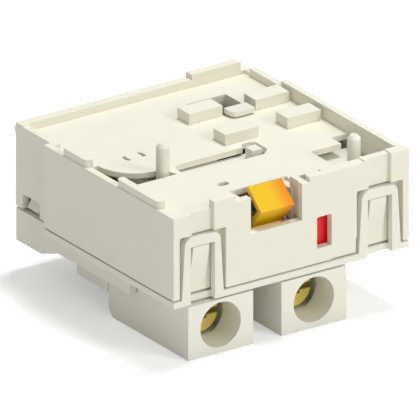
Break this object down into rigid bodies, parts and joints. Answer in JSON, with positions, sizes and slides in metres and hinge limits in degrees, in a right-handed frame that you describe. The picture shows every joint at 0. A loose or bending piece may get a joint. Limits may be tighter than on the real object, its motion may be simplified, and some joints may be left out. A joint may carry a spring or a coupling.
{
  "type": "auxiliary contact block",
  "caption": "Clip-on auxiliary contact block for a motor starter: flat moulded housing with coupling pins, snap loops, a small lever, a status flag and screw terminal boxes below.",
  "frame": {"origin": "under the middle of the block, level with the undersides of the terminal boxes", "axes": "+Z out of the mating face, -Y towards the lever, snap loops and terminal screws, +X to the right seen from there"},
  "size_m": [0.045, 0.047, 0.029],
  "materials": {
    "housing": "satin ivory",
    "pale_plastic": "satin",
    "yellow_plastic": "glossy",
    "red_plastic": "glossy",
    "screw_metal": "passivated yellow",
    "steel": "plain",
    "contact_metal": "stamped strip",
    "silver": "plain"
  },
  "bodies": {
    "block": {"housing": "housing", "base_cover": "pale_plastic", "terminal_box_left": "pale_plastic", "terminal_box_right": "pale_plastic", "fixed_contact_left": "contact_metal", "fixed_contact_right": "contact_metal", "fixed_tip_front": "silver", "fixed_tip_rear": "silver", "lever_pin": "steel", "lever_spring": "steel", "slide_spring": "steel", "trip_spring": "steel", "mounting_hook": "pale_plastic"},
    "lever": {"lever": "yellow_plastic"},
    "crank": {"crank": "pale_plastic"},
    "contact_slide": {"contact_slide": "pale_plastic", "indicator_flag": "red_plastic", "contact_bridge": "contact_metal", "contact_spring": "steel", "bridge_tip_front": "silver", "bridge_tip_rear": "silver"},
    "trip_slide": {"trip_slide": "pale_plastic"},
    "clamp_left": {"clamp_plate_left": "steel"},
    "screw_left": {"terminal_screw_left": "screw_metal"},
    "clamp_right": {"clamp_plate_right": "steel"},
    "screw_right": {"terminal_screw_right": "screw_metal"}
  },
  "joints": [
    {"name": "lever_press", "type": "hinge", "parent": "block", "child": "lever", "pos_m": [-0.00255, -0.0193, 0.01746], "axis": [-1, 0, 0], "range_deg": [0, 12], "stiffness_Nm_per_rad": 0.02, "springref_deg": -17.19, "deforming": ["lever_spring"]},
    {"name": "crank_turn", "type": "hinge", "parent": "block", "child": "crank", "pos_m": [-0.0119, 0.0032, 0.02126], "axis": [0, 0, 1], "range_deg": [-45, 0]},
    {"name": "contact_feed", "type": "slide", "parent": "block", "child": "contact_slide", "axis": [1, 0, 0], "range_m": [-0.004, 0], "stiffness_N_per_m": 10, "springref_m": 0.003, "deforming": ["slide_spring"]},
    {"name": "trip_feed", "type": "slide", "parent": "block", "child": "trip_slide", "axis": [0, 1, 0], "range_m": [0, 0.005], "stiffness_N_per_m": 150, "springref_m": -0.003, "deforming": ["trip_spring"]},
    {"name": "clamp_feed_left", "type": "slide", "parent": "block", "child": "clamp_left", "axis": [0, 1, 0], "range_m": [0, 0.0035]},
    {"name": "screw_turn_left", "type": "hinge", "parent": "clamp_left", "child": "screw_left", "pos_m": [-0.0135, -0.018, 0.0048], "axis": [0, 1, 0], "range_deg": [0, 1800]},
    {"name": "clamp_feed_right", "type": "slide", "parent": "block", "child": "clamp_right", "axis": [0, 1, 0], "range_m": [0, 0.0035]},
    {"name": "screw_turn_right", "type": "hinge", "parent": "clamp_right", "child": "screw_right", "pos_m": [0.0043, -0.018, 0.0048], "axis": [0, 1, 0], "range_deg": [0, 1800]}
  ],
  "couplings": [
    {"joint": "crank_turn", "follows": "contact_feed", "rad_per_m": 196.35},
    {"joint": "screw_turn_left", "follows": "clamp_feed_left", "rad_per_m": 8975.9},
    {"joint": "screw_turn_right", "follows": "clamp_feed_right", "rad_per_m": 8975.9}
  ]
}
